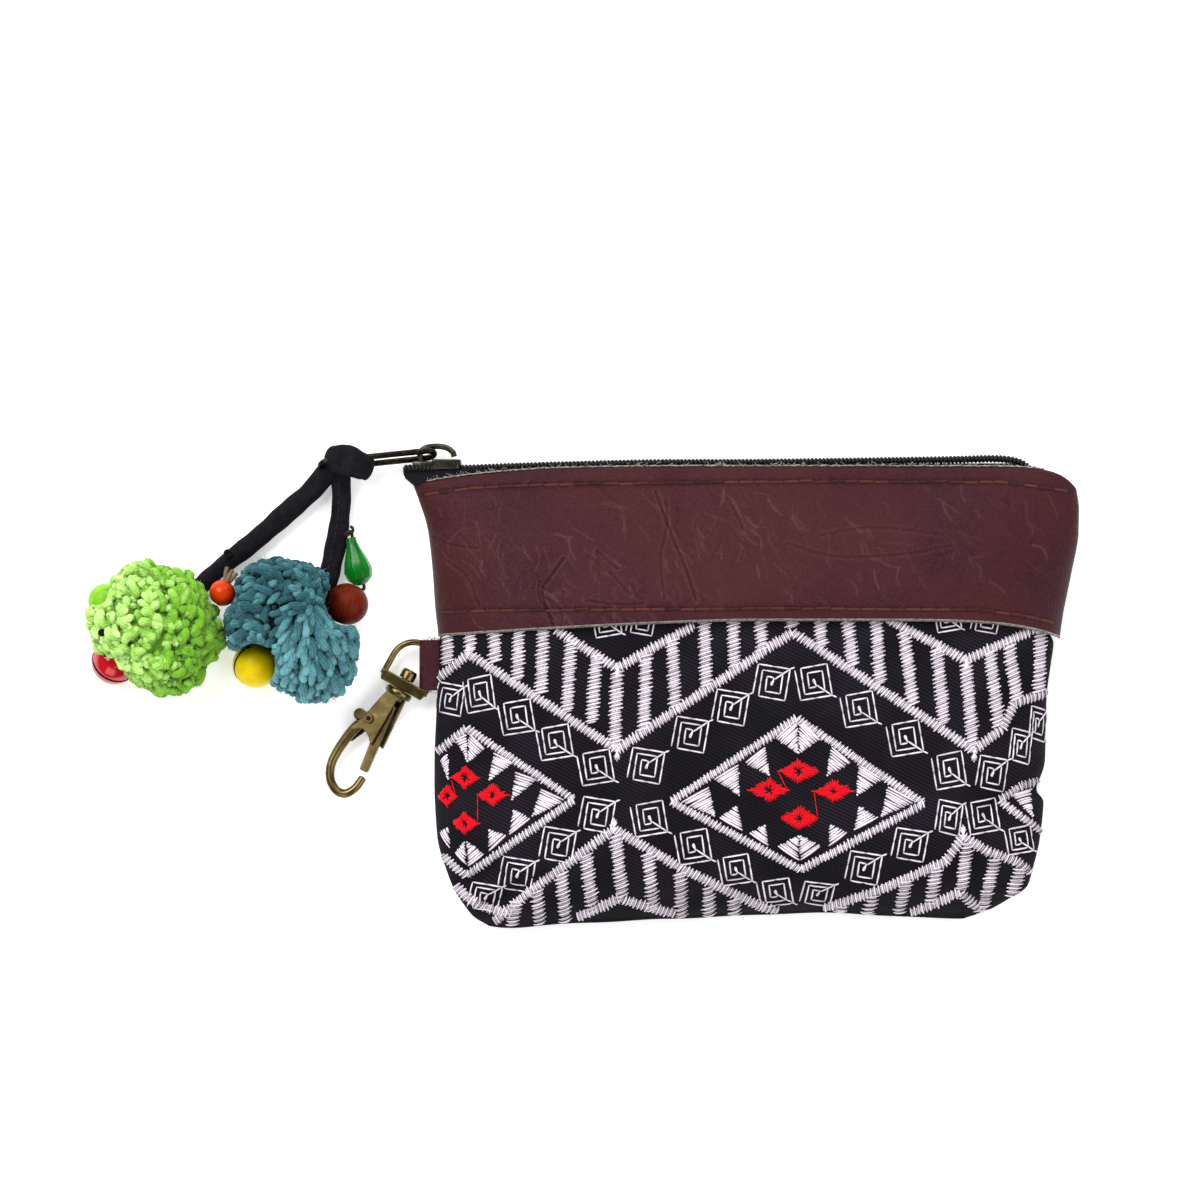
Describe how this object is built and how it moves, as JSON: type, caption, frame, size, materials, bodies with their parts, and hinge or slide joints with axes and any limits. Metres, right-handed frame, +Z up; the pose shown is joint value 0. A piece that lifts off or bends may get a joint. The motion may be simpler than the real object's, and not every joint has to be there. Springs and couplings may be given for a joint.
{
  "type": "leather-banded zip coin purse",
  "caption": "Small zip pouch of embroidered cloth with a leather band, a swivel trigger clasp on a side tab, and a pompom, bell and bead charm on the zip pull.",
  "frame": {"origin": "on the flat back that the purse lies on, under the middle of the purse and clasp", "axes": "+X along the zip away from the slider, +Y from the bottom fold to the zip, +Z up from the surface through the front"},
  "size_m": [0.1985, 0.0967, 0.022],
  "materials": {
    "cloth": "black cotton twill with white and red embroidery",
    "leather": "soft maroon-brown leather, satin",
    "tape": "woven black zip tape",
    "coil": "black nylon coil",
    "gunmetal": "dark gunmetal plating",
    "antique_brass": "antique brass, worn bright on edges",
    "strap": "black cotton tube strap",
    "lime_yarn": "soft looped yarn",
    "teal_yarn": "soft looped yarn",
    "red_enamel": "glossy red lacquer",
    "yellow_enamel": "semi-gloss yellow lacquer",
    "lime_plastic": "smooth lime bead",
    "orange_plastic": "glossy orange bead",
    "wood": "stained wooden bead, satin",
    "green_glass": "faceted green glass"
  },
  "bodies": {
    "purse": {"fabric_pouch": "cloth", "leather_band_front": "leather", "leather_band_back": "leather", "zip_tape_front": "tape", "zip_tape_back": "tape", "zip_chain": "coil", "zip_slider": "gunmetal", "zip_pull": "gunmetal", "side_tab": "leather", "clasp_eye": "antique_brass", "strap_knot": "strap", "strap_left": "strap", "strap_right": "strap", "lime_pompom": "lime_yarn", "teal_pompom": "teal_yarn", "red_bell": "red_enamel", "yellow_bell": "yellow_enamel", "lime_bead": "lime_plastic", "orange_bead": "orange_plastic", "wood_bead": "wood", "green_drop": "green_glass"},
    "hook": {"clasp_hook": "antique_brass"},
    "lever": {"clasp_lever": "antique_brass"}
  },
  "joints": [
    {"name": "clasp_swivel", "type": "hinge", "parent": "purse", "child": "hook", "pos_m": [-0.0595, 0.0005, 0.0029], "axis": [-0.4879, -0.8729, 0], "continuous": true},
    {"name": "clasp_lever", "type": "hinge", "parent": "hook", "child": "lever", "pos_m": [-0.06571, -0.00657, 0.00255], "axis": [-0.1516, 0.0847, 0.9848], "range_deg": [-18, 0], "stiffness_Nm_per_rad": 0.004, "springref_deg": 11.46}
  ]
}
